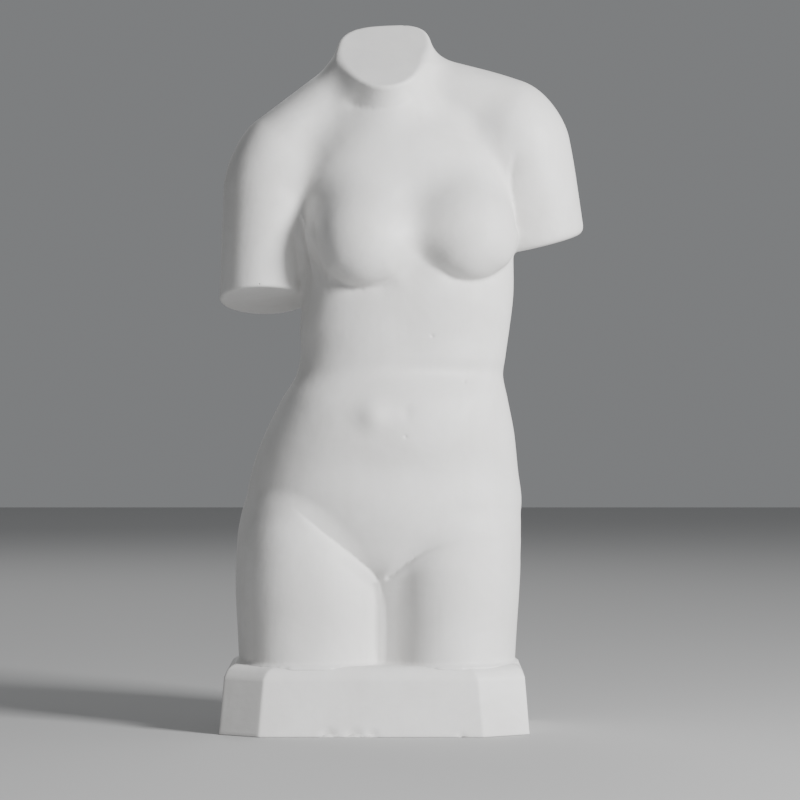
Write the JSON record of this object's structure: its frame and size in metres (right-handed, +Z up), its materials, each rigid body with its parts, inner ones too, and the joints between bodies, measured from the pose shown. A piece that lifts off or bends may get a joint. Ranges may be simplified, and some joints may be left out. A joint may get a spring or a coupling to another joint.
{
  "type": "plaster torso cast",
  "caption": "White plaster studio cast of a standing female torso without a head, its arms ending in stumps, on a low chamfered plinth.",
  "frame": {"origin": "middle of the plinth's underside", "axes": "+Z up through the figure, the figure's front faces -Y, +X towards the viewer's right as seen from the front"},
  "size_m": [0.3101, 0.1747, 0.5997],
  "materials": {
    "plaster": "matte"
  },
  "bodies": {
    "root": {"torso_cast": "plaster"}
  },
  "joints": []
}
